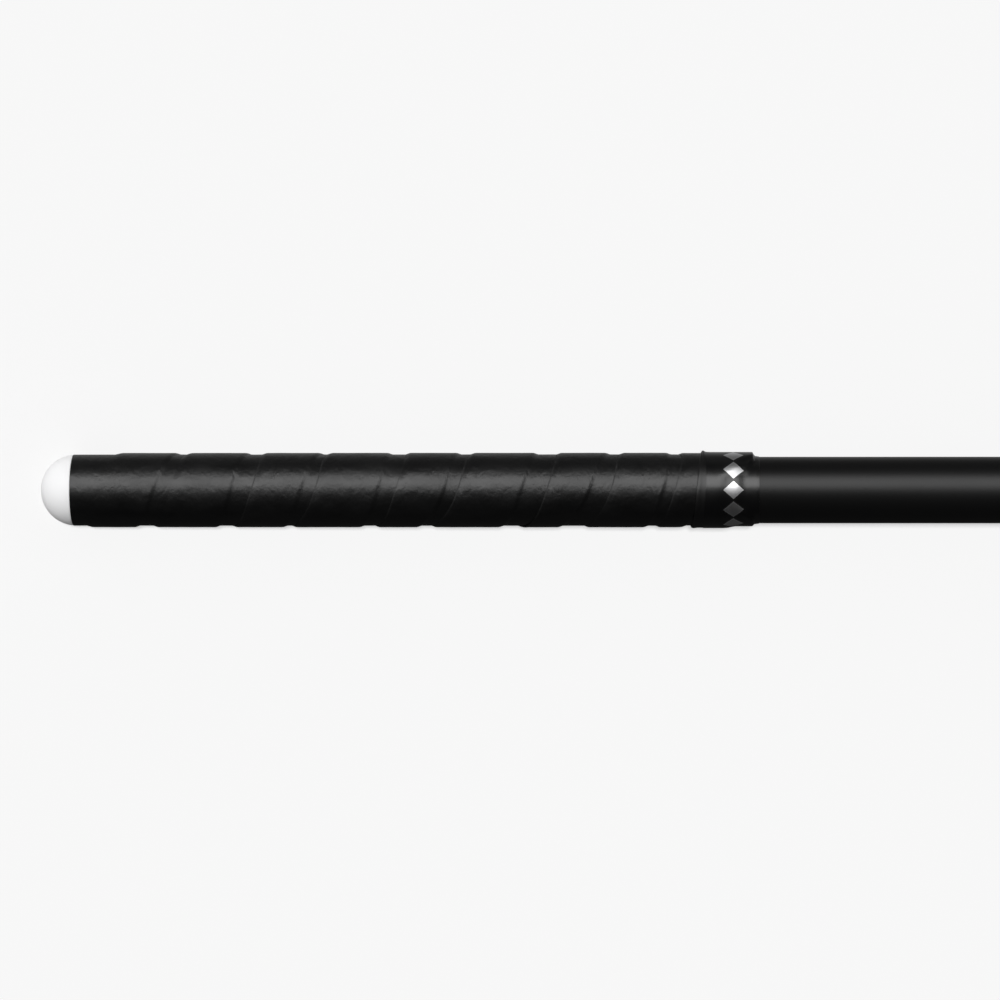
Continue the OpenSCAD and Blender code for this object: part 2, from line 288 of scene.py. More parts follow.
class StickLines:
    """Where each point of the stick is, from its distance s along the centre line."""

    def __init__(self):
        k = self.k = settings().stick
        self.handle_r = k.handle / 2
        self.tape_r = self.handle_r + UNDER_TAPE
        self.hook_r = k.crook + k.head_width / 2
        self.base_at = k.length - settings().cap.height
        self.hook_start = self.base_at - k.head_width / 2 - self.hook_r
        self.hook_end = self.hook_start + self.hook_r * k.hook_angle
        self.toe_end = self.hook_end + k.toe_length
        self.core_start = self.hook_start - k.core_reach
        self.bow_r = k.bow_length / k.bow_angle
        self.bow_end = k.bow_start + k.bow_length
        self.lay = self.laid()

    def half_width(self, s):
        k = self.k
        if s < self.hook_start:
            return blend(self.handle_r, k.head_width / 2, share(s, k.handle_length, self.hook_start))
        return blend(k.head_width, k.toe_width, share(s, self.hook_start, self.toe_end)) / 2

    def thickness(self, s):
        k = self.k
        if s < self.hook_start:
            return blend(k.handle, k.head_thickness, share(s, k.handle_length, self.core_start))
        return blend(k.head_thickness, k.toe_thickness, share(s, self.hook_start, self.toe_end))

    def edge(self, s):
        return blend(self.handle_r, self.k.edge, share(s, self.k.handle_length, self.k.flat_from))

    def wall(self, s):
        return blend(self.k.wall, self.k.head_wall, share(s, self.k.flat_from, self.core_start))

    def plan(self, s, y):
        """The place on the floor of a point y to the left of the centre line."""
        if s <= self.hook_start:
            return s, y
        if s <= self.hook_end:
            turn, r = (s - self.hook_start) / self.hook_r, self.hook_r - y
            return self.hook_start + r * sin(turn), self.hook_r - r * cos(turn)
        x, across = self.plan(self.hook_end, y)
        past = s - self.hook_end
        return x + past * cos(self.k.hook_angle), across + past * sin(self.k.hook_angle)

    def bowed(self, a, b, h):
        """A point of the bowed stick, from its plan and its height over the face."""
        k = self.k
        if a <= k.bow_start:
            return Vector((a, b, h - self.handle_r))
        turn = k.bow_angle * min(1, (a - k.bow_start) / k.bow_length)
        reach, past = self.bow_r + h, max(0, a - self.bow_end)
        return Vector((k.bow_start + reach * sin(turn) + past * cos(turn), b,
                       -self.handle_r - self.bow_r + reach * cos(turn) - past * sin(turn)))

    def laid(self):
        """Lays the stick on the floor, with its bounding box centred over the origin."""
        k, cap, grip = self.k, settings().cap, settings().grip
        double_r = (self.tape_r + LAYER_GAP + 2 * grip.thickness) / cos(pi / TAPE_SIDES)
        head_foot = self.bowed(self.base_at - k.edge, 0, 0)
        lie = atan2(-double_r - head_foot.z, head_foot.x)
        base = self.bowed(self.base_at, 0, k.edge)
        butt_x = -cap.height * cos(lie)
        base_x = base.x * cos(lie) - base.z * sin(lie)
        toe_y = self.plan(self.toe_end, 0)[1] + k.toe_width / 2
        place = (-(butt_x + base_x) / 2, (k.head_width / 2 - toe_y) / 2, double_r * cos(lie))
        return Matrix.Translation(place) @ Matrix.Rotation(-lie, 4, "Y")


def section(w, lo, mid, hi, corner):
    """A closed section of half width w: half an ellipse over mid, rounded edges, and a flat at lo."""
    # Sides of each: the half ellipse, a rounded edge and the flat
    back, rounded, flat = 56, 14, 10
    points = [(w * cos(t), mid + (hi - mid) * sin(t)) for t in spaced(0, pi, back)[:-1]]
    edge = [(w - corner * (1 - cos(t)), mid - (mid - lo) * sin(t))
            for t in spaced(0, pi / 2, rounded)]
    points += [(-y, height) for y, height in edge]
    points += [(y, lo) for y in spaced(corner - w, w - corner, flat)[1:-1]]
    return points + edge[:0:-1]


def join(mesh, a, b):
    """Joins two rings of vertices with four-sided faces."""
    for i in range(len(a)):
        j = (i + 1) % len(a)
        mesh.faces.new((a[i], b[i], b[j], a[j]))


def skin(mesh, rings):
    """Joins rings of points, one to the next, and returns their vertices."""
    rows = [[mesh.verts.new(p) for p in ring] for ring in rings]
    for a, b in zip(rows, rows[1:]):
        join(mesh, a, b)
    return rows


def close_pole(mesh, ring, point):
    """Closes the end of a skin with a fan on one point."""
    tip = mesh.verts.new(point)
    for i in range(len(ring)):
        mesh.faces.new((ring[i], tip, ring[(i + 1) % len(ring)]))


def add(name, data):
    """Puts an object in the scene."""
    added = bpy.data.objects.new(name, data)
    bpy.context.scene.collection.objects.link(added)
    return added


def place_piece(name, data, sharp):
    """Puts a mesh in the scene, smooth but for the edges sharper than an angle in degrees."""
    data.shade_smooth()
    data.set_sharp_from_angle(angle=radians(sharp))
    return add(name, data)


def piece_from(mesh, name, material, sharp=35):
    """Makes a piece of a finished mesh, with outward faces."""
    bmesh.ops.recalc_face_normals(mesh, faces=mesh.faces)
    data = bpy.data.meshes.new(name)
    mesh.to_mesh(data)
    mesh.free()
    data.materials.append(material)
    return place_piece(name, data, sharp)


def settle(piece, slot, *nodes):
    """The finished piece moves with the frame and stands for its CAD nodes."""
    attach(piece, BODY)
    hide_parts(*nodes)


# ---- Materials ----


class Finish(Graph):
    """A material: a Principled shader whose inputs follow formulas on the piece's own coordinates."""

    def __init__(self, name):
        self.material = bpy.data.materials.new(name)
        self.material.use_nodes = True
        super().__init__(self.material.node_tree)
        self.tree.nodes.clear()
        self.out = self.node("ShaderNodeOutputMaterial")
        self.shader = self.node("ShaderNodeBsdfPrincipled")
        self.put(self.shader, self.out.inputs[0])
        self.place = self.node("ShaderNodeTexCoord").outputs["Object"]

    def set(self, **values):
        for name, value in values.items():
            self.put(value, self.shader.inputs[name.replace("_", " ")])

    def stretched(self, along, across, turn=0):
        """The piece's coordinates, scaled along the stick and across it."""
        values = {"Vector": self.place, "Scale": (along, across, across), "Rotation": (0, 0, turn)}
        return self.node("ShaderNodeMapping", values)

    def over_noise(self, noise_of, lo=0, hi=1):
        """From lo to hi, over the values that most of a noise has."""
        return self.ramp(noise_of, 0.3, 0.7, lo, hi)

    def mix(self, share_of, a, b):
        """A share of colour b over colour a."""
        return self.node("ShaderNodeMix", {0: share_of, 6: a, 7: b}, data_type="RGBA").outputs[2]

    def tones(self, share_of, base, lo, hi):
        """Between two tones of one colour."""
        return self.mix(share_of, tone(base, lo), tone(base, hi))

    def relief(self, *heights, strength=1):
        """Bump from heights in metres, one on another."""
        below = {}
        for height in heights:
            values = {"Height": height, "Strength": strength, "Distance": 1, **below}
            below = {"Normal": self.node("ShaderNodeBump", values)}
        self.set(**below)


def tone(colour_of, factor):
    """A lighter or darker tone of a colour."""
    return tuple(min(1, c * factor) for c in colour_of)


def lacquer_finish():
    """Satin black lacquer over laminate, with a faint orange peel."""
    f = Finish("satin_lacquer")
    base = tuple(settings().stick.lacquer)
    haze = f.noise(f.stretched(6, 22), 1, 3, seed=2)
    f.set(Base_Color=f.tones(haze, base, 0.8, 1.25), Roughness=f.over_noise(haze, 0.39, 0.45))
    f.relief(f.noise(f.place, 420, 1.5, seed=5) * (1.6 * MICRON))
    return f.material


def cap_finish():
    """Smooth white moulded plastic."""
    f = Finish("moulded_white_plastic")
    base = tuple(settings().cap.plastic)
    cloud = f.noise(f.place, 90, 2, seed=1)
    f.set(Base_Color=f.tones(cloud, base, 0.985, 1.01), Roughness=f.over_noise(cloud, 0.36, 0.44),
          Specular_IOR_Level=0.3)
    f.relief(f.noise(f.place, 1500, 2, seed=3) * (1.2 * MICRON))
    return f.material


def grip_finish():
    """Soft black rubbery tape: fine grain, pull creases, dull and shiny patches, and lips pale in spots
    from wear and a painted highlight.
    """
    f = Finish("rubbery_grip_tape")
    base = tuple(settings().grip.tape)
    patch = f.noise(f.stretched(60, 110), 1, 3, 0.55, seed=2)
    fine = f.noise(f.place, 900, 3, 0.6, seed=6)
    grain = f.noise(f.place, 3600, 2, 0.6, seed=7)
    # Creases run across where the tape was pulled, in patches
    pulled = f.ramp(f.noise(f.place, 60, 1, seed=9), 0.5, 0.6, smooth=True)
    creases = f.noise(f.stretched(620, 260, radians(20)), 1, 1, 0.5, 0.5, seed=3)
    folds = f.ramp(creases, 0.56, 0.68, smooth=True)
    # The lips are dull, in some stretches more than in others, and pale in a few spots: partly wear, and
    # partly a painted highlight where the lip edges catch the light
    lip = f.number("ShaderNodeAttribute", attribute_name="lip", out=2)
    stretch = f.ramp(f.noise(f.place, 55, 1, seed=8), 0.4, 0.6, 0.3, 1)
    seam = f.ramp(lip, 0.1 * MM, 0.9 * MM, 1, 0, smooth=True) * stretch
    spots = f.ramp(f.noise(f.place, 160, 2, seed=11), 0.6, 0.68)
    # Painted highlight and wear: a pale tone on the lip edges, in spots
    worn_and_glint = f.ramp(lip, 0.3 * MM, 0.9 * MM, 1, 0) * spots
    f.set(Base_Color=f.mix(worn_and_glint * 0.5, f.tones(f.over_noise(patch), base, 0.75, 1.3), tone(base, 9)),
          Roughness=f.over_noise(patch, 0.35, 0.44) + (fine - 0.5) * 0.08 + seam * 0.2,
          Specular_IOR_Level=0.7)
    hammered = f.noise(f.stretched(290, 240), 1, 2, 0.5, 0.5, seed=12)
    pebbled = f.noise(f.stretched(820, 740), 1, 2, 0.55, seed=13)
    f.relief(hammered * (240 * MICRON), pebbled * (45 * MICRON), folds * pulled * (35 * MICRON),
             fine * (4 * MICRON), grain * (1.2 * MICRON))
    return f.material


def band_finish():
    """Glossy stretched tape with a printed row of silver lozenges."""
    f = Finish("glossy_finishing_tape")
    band = settings().band
    film, ink = tuple(band.film), tuple(band.ink)
    # The map runs along the handle in metres, and round it from 0 to 1
    along, around, _ = f.split(f.node("ShaderNodeUVMap", uv_map="UVMap"))
    cell = f.math("FRACT", around * band.marks) - 0.5
    away = f.math("ABSOLUTE", along - band.mark_at) / (band.mark_width / 2)
    # Half a lozenge's height as a share of its cell, and how far its outline blurs
    half_height, blur = 0.44, 0.015
    beside = away + f.math("ABSOLUTE", cell) / half_height
    printed = f.ramp(beside, 1 - blur, 1 + blur, 1, 0)
    # The first turn shows beside the outer one, and is duller
    under = 1 - f.number("ShaderNodeAttribute", attribute_name="outer_turn", out=2)
    lines = f.noise(f.stretched(30, 900), 1, 2, seed=4)
    cloud = f.noise(f.place, 130, 2, seed=1)
    f.set(Base_Color=f.mix(printed, f.tones(cloud, film, 0.8, 1.25), ink), Metallic=printed,
          Roughness=f.over_noise(cloud, 0.27, 0.33) + printed * 0.08 + under * 0.1,
          Specular_IOR_Level=0.78)
    f.relief(lines * (0.8 * MICRON), f.noise(f.place, 260, 1, seed=5) * (4 * MICRON))
    return f.material


def foam_finish():
    """Rigid foam: a cream block with fine open cells."""
    f = Finish("cream_foam")
    cells = f.number("ShaderNodeTexVoronoi", {"Vector": f.place, "Scale": 900})
    f.set(Base_Color=f.mix(cells, (0.5, 0.42, 0.28), (0.68, 0.6, 0.42)),
          Roughness=f.ramp(cells, 0, 0.6, 0.95, 0.8))
    f.relief(cells * (250 * MICRON), strength=0.6)
    return f.material


def weave_finish(name, warp, weft, rough, pitch):
    """Woven reinforcement under resin: warp and weft threads that cross over and under."""
    f = Finish(name)
    u, v, _ = f.split(f.stretched(1 / pitch, 1 / pitch, radians(45)))
    over = f.math("GREATER_THAN", f.math("SINE", u * pi) * f.math("SINE", v * pi), 0)
    thread = f.math("ABSOLUTE", f.math("SINE", (u * over + v * (1 - over)) * tau))
    f.set(Base_Color=f.mix(over, warp, weft), Roughness=f.ramp(thread, 0, 1, rough + 0.12, rough))
    f.relief(thread * (50 * MICRON), strength=0.7)
    return f.material


def rubber_finish(name, base, rough):
    """Soft moulded or coated stuff with a fine grain."""
    f = Finish(name)
    cloud = f.noise(f.place, 160, 3, seed=2)
    f.set(Base_Color=f.tones(cloud, base, 0.85, 1.12), Roughness=f.over_noise(cloud, rough, rough + 0.1))
    f.relief(f.noise(f.place, 1400, 2, seed=5) * (10 * MICRON))
    return f.material


# ---- Pieces ----


class BuildPiece:
    """What the operators that build a piece share."""

    bl_options = {"REGISTER", "UNDO"}

    def execute(self, context):
        self.build()
        return {"FINISHED"}


class HOCKEY_OT_stick_body(BuildPiece, bpy.types.Operator):
    """Build the lacquered stick: a hollow handle and shaft, the bow and the hooked head"""

    bl_idname = "hockey_stick.stick_body"
    bl_label = "Stick body"

    def build(self):
        k = settings().stick
        lines = StickLines()
        # The least of a rounded edge, of the flat beside it, and of the flat's share of the toe's tip
        least_edge, least_flat, tip_flat = 0.5 * MM, 0.02 * MM, 0.12

        def ring(s, points):
            return [lines.lay @ lines.bowed(*lines.plan(s, y), h) for y, h in points]

        def stick_ring(s, inset):
            w, mid = lines.half_width(s) - inset, max(lines.edge(s), inset + least_edge)
            corner = min(mid - inset, w - least_flat)
            return ring(s, section(w, inset, mid, lines.thickness(s) - inset, corner))

        def toe_size(inset):
            return k.toe_width / 2 - inset, max(k.edge, inset + least_edge)

        def toe_ring(turn, inset):
            """The toe's end is round in plan, with its lower edge rounded all the way along."""
            r, mid = toe_size(inset)
            reach, drop, w = r * sin(turn), mid - inset, r * cos(turn)
            flat = max(sqrt(max(0, (r - drop) ** 2 - reach ** 2)), w * tip_flat)

            def height(y, over):
                past = min(1, max(0, hypot(reach, y) - r + drop) / drop)
                return mid + over if over > 0 else mid - drop * sqrt(1 - past * past)

            back = section(w, 0, 0, (k.toe_thickness - inset - mid) * cos(turn), w - flat)
            return ring(lines.toe_end + reach, [(y, height(y, over)) for y, over in back])

        def rings(inset_at, per):
            """The rings of a skin, and the point that closes it at the toe."""
            stretches = ((0, k.handle_length, 12), (k.handle_length, lines.hook_start, 64),
                         (lines.hook_start, lines.hook_end, 44), (lines.hook_end, lines.toe_end, 8))
            stops = [s for start, end, count in stretches for s in spaced(start, end, count * per)[:-1]]
            made = [stick_ring(s, inset_at(s)) for s in (*stops, lines.toe_end)]
            inset = inset_at(lines.toe_end)
            for t in spaced(0, pi / 2, 22 * per)[1:-1]:
                made.append(toe_ring(pi / 2 * sin(t), inset))
            r, mid = toe_size(inset)
            return made, lines.lay @ lines.bowed(*lines.plan(lines.toe_end + r, 0), mid)

        mesh = bmesh.new()
        outer, outer_tip = rings(lambda s: 0, 2)
        inner, inner_tip = rings(lines.wall, 1)
        out_rows, in_rows = skin(mesh, outer), skin(mesh, inner)
        close_pole(mesh, out_rows[-1], outer_tip)
        close_pole(mesh, in_rows[-1], inner_tip)
        join(mesh, in_rows[0], out_rows[0])
        settle(piece_from(mesh, "stick_body", lacquer_finish()), "shell", "outer_shell")


class HOCKEY_OT_end_cap(BuildPiece, bpy.types.Operator):
    """Build the moulded cap: a dome on the butt end, with a webbed shank that is pressed into the handle"""

    bl_idname = "hockey_stick.end_cap"
    bl_label = "Butt cap"

    def build(self):
        k = settings().cap
        lay = StickLines().lay
        dome_r = (k.radius ** 2 + k.height ** 2) / (2 * k.height)
        centre, inner_r = dome_r - k.height, dome_r - k.wall
        r, bore, bevel = k.shank_radius, k.shank_radius - k.shank_wall, 0.3 * MM
        # The taper that leads the shank into the handle
        lead_in, draw_in = 0.8 * MM, 0.6 * MM

        def dome(r, start, end, count):
            return [(centre - r * cos(t), r * sin(t)) for t in spaced(start, end, count)]

        profile = dome(dome_r, 0, asin((k.radius - bevel / 2) / dome_r), 48)[1:]
        profile += [(-bevel + bevel * sin(t), k.radius - bevel + bevel * cos(t))
                    for t in spaced(radians(8), pi / 2, 6)]
        profile += [(0, r + bevel), (bevel, r), (k.shank - lead_in, r), (k.shank, r - draw_in)]
        profile += [(k.shank, bore)]
        profile += dome(inner_r, asin(min(1, bore / inner_r)), 0, 20)[:-1]
        mesh = bmesh.new()
        rows = skin(mesh, [[lay @ Vector((x, r * cos(a), r * sin(a)))
                            for a in spaced(0, tau, 128)[:-1]] for x, r in profile])
        close_pole(mesh, rows[0], lay @ Vector((-k.height, 0, 0)))
        close_pole(mesh, rows[-1], lay @ Vector((centre - inner_r, 0, 0)))
        # The webs are a star across the bore, which runs into the walls and stops short of the open end
        into_shank, into_dome, short = 0.3 * MM, 0.8 * MM, 0.3 * MM
        tip, half_web, half_gap = bore + into_shank, k.shank_wall / 2, pi / (2 * k.webs)
        hollow = half_web / sin(half_gap)
        arm = ((tip, -half_web), (tip, half_web), (hollow * cos(half_gap), hollow * sin(half_gap)))
        star = [Matrix.Rotation(turn, 2) @ Vector(p) for turn in spaced(0, tau, 2 * k.webs)[:-1]
                for p in arm]
        in_wall, web_end = inner_r + into_dome, k.shank - short
        front = [(centre - sqrt(in_wall ** 2 - p.length_squared), *p) for p in star]
        rows = skin(mesh, [[lay @ Vector(p) for p in front], [lay @ Vector((web_end, *p)) for p in star]])
        close_pole(mesh, rows[0], lay @ Vector((centre - in_wall, 0, 0)))
        close_pole(mesh, rows[1], lay @ Vector((web_end, 0, 0)))
        settle(piece_from(mesh, "end_cap", cap_finish()), "cap", "butt_cap")


# How far the tape's edges wander from the even lead, in millimetres, by turn: it was wound by hand
LEFT_WANDER = [(0, 0), (1, 0), (1.25, -1.45), (1.5, -2), (1.75, -3.65), (2.25, -3.05), (2.5, -2.5),
               (2.75, -3.35), (3.25, 0.95), (3.5, 1.9), (3.75, -1.35), (4.25, -3.65), (4.5, -1.1),
               (4.75, -3.35), (5.25, 1.95), (5.5, 3), (5.75, -0.35), (6.25, -4.15), (6.5, -0.7),
               (6.75, -2.45), (7.25, 3.75), (7.5, 6.9), (7.75, 3.75), (8.25, 0.75), (8.5, 4),
               (8.75, 0.65), (9.25, 1.05), (9.5, 1), (9.75, -4.85), (10.25, -14.65), (10.5, -20.5)]
RIGHT_WANDER = [(0, -4.7), (0.25, -5.05), (0.5, -4.2), (0.75, -3.15), (1.25, -0.75), (1.5, -1.6),
                (1.75, -2.75), (2.25, -2.05), (2.5, -1.8), (2.75, -1.75), (3.25, 0.65), (3.5, 0.8),
                (3.75, -2.35), (4.25, -5.05), (4.5, -1.2), (4.75, -3.15), (5.25, -0.15), (5.5, 1.5),
                (5.75, -0.35), (6.25, -4.95), (6.5, 0.3), (6.75, 0.15), (7.25, 1.25), (7.5, 1.4),
                (7.75, -3.85), (8.25, -12.55), (8.5, -7.5), (8.75, 1), (9.25, -8), (9.44, -27.1),
                (9.56, -30), (9.75, -22), (10, -38), (10.25, -53.65), (10.5, -65)]
# How far the visible edge stands off the turn under it
LIP_LIFT = [(0, 0), (1.2, 0), (1.75, 0.03), (2.5, 0), (3.25, 0.02), (5.25, 0.07), (5.75, 0.02),
            (6.7, 0.02), (7.15, 0.12), (7.3, 0.32), (7.4, 0.08), (7.5, 0.02), (8.3, 0.02), (8.55, 0.09),
            (8.8, 0.03), (9.8, 0), (10.5, 0)]


class HOCKEY_OT_grip_winding(BuildPiece, bpy.types.Operator):
    """Build the grip: one strip of tape, wound over itself from the butt end to the finishing tape"""

    bl_idname = "hockey_stick.grip_winding"
    bl_label = "Grip winding"
    # The points of a section outside and inside, and the outside's shares up to the end of the lip, the
    # bend, the foot of the ramp and the next turn's edge
    OUTER, INNER = 46, 18
    LIP, BEND, FOOT, EDGE = 0.15, 0.54, 0.74, 0.84

    def tree(self, material):
        k = settings().grip
        tree = bpy.data.node_groups.new("tape_winding", "GeometryNodeTree")
        g = Graph(tree)
        tree.interface.new_socket("Geometry", in_out="OUTPUT", socket_type="NodeSocketGeometry")
        lines = StickLines()
        values = {
            "Inner radius": lines.tape_r, "Tape thickness": k.thickness, "Tape width": k.width,
            "Lead": k.lead, "Wound length": k.length, "Ramp": k.ramp, "Lip": k.lip, "Layer gap": LAYER_GAP,
            "Relief": k.relief, "Turns": k.turns, "Steps": k.steps, "Seed": k.seed,
            "Lie": tuple(lines.lay.to_euler()), "Place": tuple(lines.lay.translation), "Material": material,
        }
        kinds = {float: "Float", int: "Int", tuple: "Vector"}
        for name, value in values.items():
            kind = "NodeSocket" + kinds.get(type(value), "Material")
            tree.interface.new_socket(name, in_out="INPUT", socket_type=kind)
        entry = g.node("NodeGroupInput")
        (inner_r, thick, width, lead, length, ramp_w, lip_w, gap, relief, turns, steps, seed, lie, place,
         finish) = [Number(g, entry.outputs[name]) for name in values]

        outer, around = self.OUTER, self.OUTER + self.INNER
        rings = g.math("ROUND", turns * steps) + 1
        line = g.node("GeometryNodeCurvePrimitiveLine")
        path = g.node("GeometryNodeResampleCurve", {"Curve": line, "Count": rings})
        loop = g.node("GeometryNodeCurvePrimitiveCircle", {"Resolution": around})
        tube = g.node("GeometryNodeCurveToMesh", {"Curve": path, "Profile Curve": loop, "Fill Caps": True})
        index = g.number("GeometryNodeInputIndex")
        ring = g.math("FLOOR", (index + 0.5) / around)
        point = index - ring * around
        turn = ring / steps

        def left(at):
            return g.high(gap, lead * (at - 1) + g.curve(at, LEFT_WANDER) * MM)

        def right(at):
            return g.low(length, lead * (at - 1) + width + g.curve(at, RIGHT_WANDER) * MM)

        start, end = left(turn), right(turn)
        under = g.high(turn - 1, 0)
        angle = turn * tau
        down, side = g.math("COSINE", angle), g.math("SINE", angle)
        # The hand has pressed the layers together on the upper side, where the skived edge lies flatter
        pressed = (0.5 - down * 0.5) * (0.5 - down * 0.5)
        # The edges of the first turns are pressed almost flat there
        first = g.ramp(turn, 1.62, 2.8, 1, 0)
        lip_w = lip_w * (1 + pressed * (1.2 + first * 1.6))
        step = right(under) - ramp_w * 0.3
        # Sections keep their closest points at the lip and the ramp, and their widest under the next turn
        on_top = g.math("LESS_THAN", point, outer - 0.5)
        back = 1 - (point - outer) / (self.INNER - 1)
        across = on_top * (point / (outer - 1)) + (1 - on_top) * back
        bend = g.low(g.high(step, start + lip_w * 2), end - 8 * MM)
        after = g.low(g.high(left(turn + 1) + 1.5 * MM, bend + ramp_w + 0.5 * MM), end - 2 * MM)
        u = (start + lip_w * g.ramp(across, 0, self.LIP)
             + (bend - lip_w - start) * g.ramp(across, self.LIP, self.BEND)
             + ramp_w * g.ramp(across, self.BEND, self.FOOT)
             + (after - ramp_w - bend) * g.ramp(across, self.FOOT, self.EDGE)
             + (end - after) * g.ramp(across, self.EDGE, 1))
        # It climbs onto its own start after one turn, and steps down where the turn underneath ends
        climb = g.ramp(turn, 0.96, 0.998, smooth=True)
        layer = climb * g.ramp(u, step, step + ramp_w, 1, 0, smooth=True)
        where = g.vector(u, side * 0.015, down * 0.015)
        dents = g.noise(where, 75, 1, seed=seed) * 0.5
        dents = dents + g.noise(where, 190, 1, seed=seed + 7) * 0.5
        # The finishing tape holds the last turns down, so there are no dents there
        calm = g.ramp(u, 0.254, 0.259, 1, 0)
        from_lip, from_end = u - start, end - u
        lift = (g.curve(turn, LIP_LIFT) * MM) * g.ramp(from_lip, 0, 2.6 * MM, 1, 0, smooth=True)
        lift = lift * g.ramp(turn, 1.1, 1.2)
        # The tape has only a share of its thickness towards its edges
        end_share = g.ramp(from_end, 0, lip_w, 0.3, 1)
        lip_share = g.ramp(from_lip, 0, lip_w, 0.08 + pressed * (0.5 + first * 0.36), 1)
        share_of = g.low(lip_share, end_share)
        wound = g.ramp(turn, 1, 1.08)
        share_of = share_of * wound + (1 - wound) * g.high(share_of, end_share)
        radius = (inner_r + (thick + gap) * layer * (1 - pressed * 0.5) + lift + dents * relief * calm
                  + on_top * thick * share_of)
        spot = g.vector(u, -radius * side, -radius * down)
        moved = g.node("GeometryNodeSetPosition", {"Geometry": tube, "Position": spot})
        # The material finds the lips by their distance, and the pressed ones of the first turns stay plain
        marked = g.node("GeometryNodeStoreNamedAttribute",
                        {"Geometry": moved, "Name": "lip", "Value": from_lip + first},
                        data_type="FLOAT", domain="POINT")
        laid = g.node("GeometryNodeTransform", {"Geometry": marked, "Translation": place, "Rotation": lie})
        painted = g.node("GeometryNodeSetMaterial", {"Geometry": laid, "Material": finish})
        g.node("NodeGroupOutput", {0: painted})
        return tree, values

    def build(self):
        settle(plain_mesh("grip_winding", *self.tree(grip_finish())), "grip", "grip_tape")


def plain_mesh(name, tree, values):
    """Runs a geometry tree once and returns its result as a plain piece."""
    maker = add(name + "_maker", bpy.data.meshes.new(name + "_maker"))
    modifier = maker.modifiers.new("tree", "NODES")
    modifier.node_group = tree
    for item in tree.interface.items_tree:
        if item.in_out == "INPUT":
            modifier[item.identifier] = values[item.name]
    data = bpy.data.meshes.new_from_object(maker.evaluated_get(bpy.context.evaluated_depsgraph_get()))
    bpy.data.objects.remove(maker)
    data.name = name
    return place_piece(name, data, 48)


# Where the grip under the finishing tape changes from two layers to one, and where its slanting cut is, by
# angle from the floor side in degrees
LAST_LAYER = [(0, 286), (90, 277.5), (150, 273.5), (190, 274.5), (225, 281.5), (262, 291), (340, 291),
              (360, 286)]
CUT_FROM, CUT_TO = 279, 287
TAPE_END = [(0, CUT_TO), (120, CUT_TO), (158, CUT_FROM), (202, CUT_FROM), (240, CUT_TO), (360, CUT_TO)]
# The places of a section's points, as shares of the first turn that shows and of the outer turn
FIRST_TURN = (0, 0.02, 0.08, 0.16, 0.25, 0.35, 0.5, 0.65, 0.85, 0.98)
OUTER_TURN = (0.05, 0.12, 0.2, 0.28, 0.36, 0.44, 0.52, 0.58, 0.62, 0.65, 0.68, 0.71, 0.74, 0.77, 0.8, 0.83,
              0.86, 0.88, 0.9, 0.92, 0.94, 0.96, 0.98, 0.995)


def between(points, x):
    """A smooth way through points, which are (x, value)."""
    for (x0, v0), (x1, v1) in zip(points, points[1:]):
        if x <= x1:
            return blend(v0, v1, share(x, x0, x1))
    return points[-1][1]


def bump(x, middle, reach):
    """1 in the middle, and smoothly down to 0 at its reach on either side."""
    return smooth(1 - abs(x - middle) / reach)


